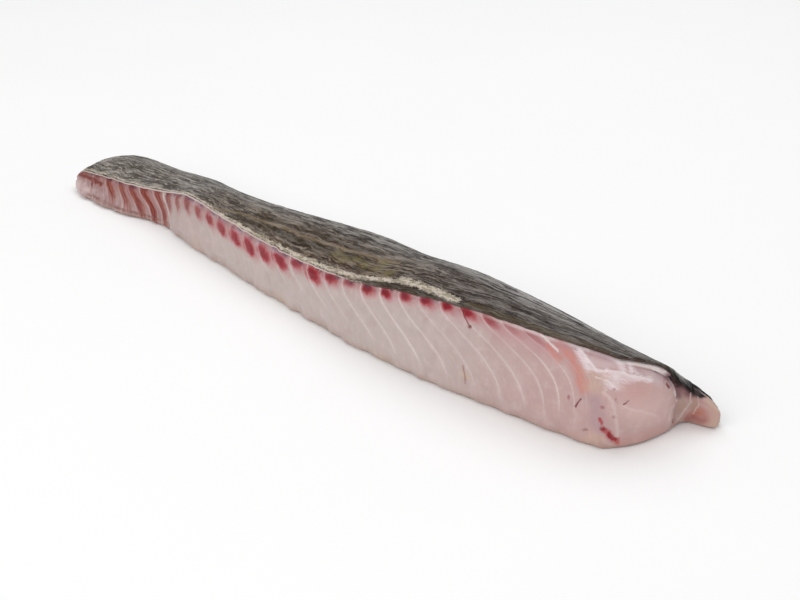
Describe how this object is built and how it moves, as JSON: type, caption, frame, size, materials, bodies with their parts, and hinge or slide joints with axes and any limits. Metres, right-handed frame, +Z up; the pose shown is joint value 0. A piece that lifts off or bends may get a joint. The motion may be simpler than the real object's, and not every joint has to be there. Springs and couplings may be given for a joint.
{
  "type": "skin-on cod loin",
  "caption": "Long raw fish loin, thin at the tail cut and thick at the head cut, with a row of flakes on its cut side and dark skin over its crown.",
  "frame": {"origin": "middle of the base, on the board that the loin lies on", "axes": "+X along the loin from the tail cut to the head cut, +Z up from the board, -Y out of the long cut side that shows the flakes"},
  "size_m": [0.4384, 0.0724, 0.0421],
  "materials": {
    "flesh": "moist satin",
    "skin": "moist, finely wrinkled"
  },
  "bodies": {
    "root": {"flesh": "flesh", "skin": "skin"}
  },
  "joints": []
}
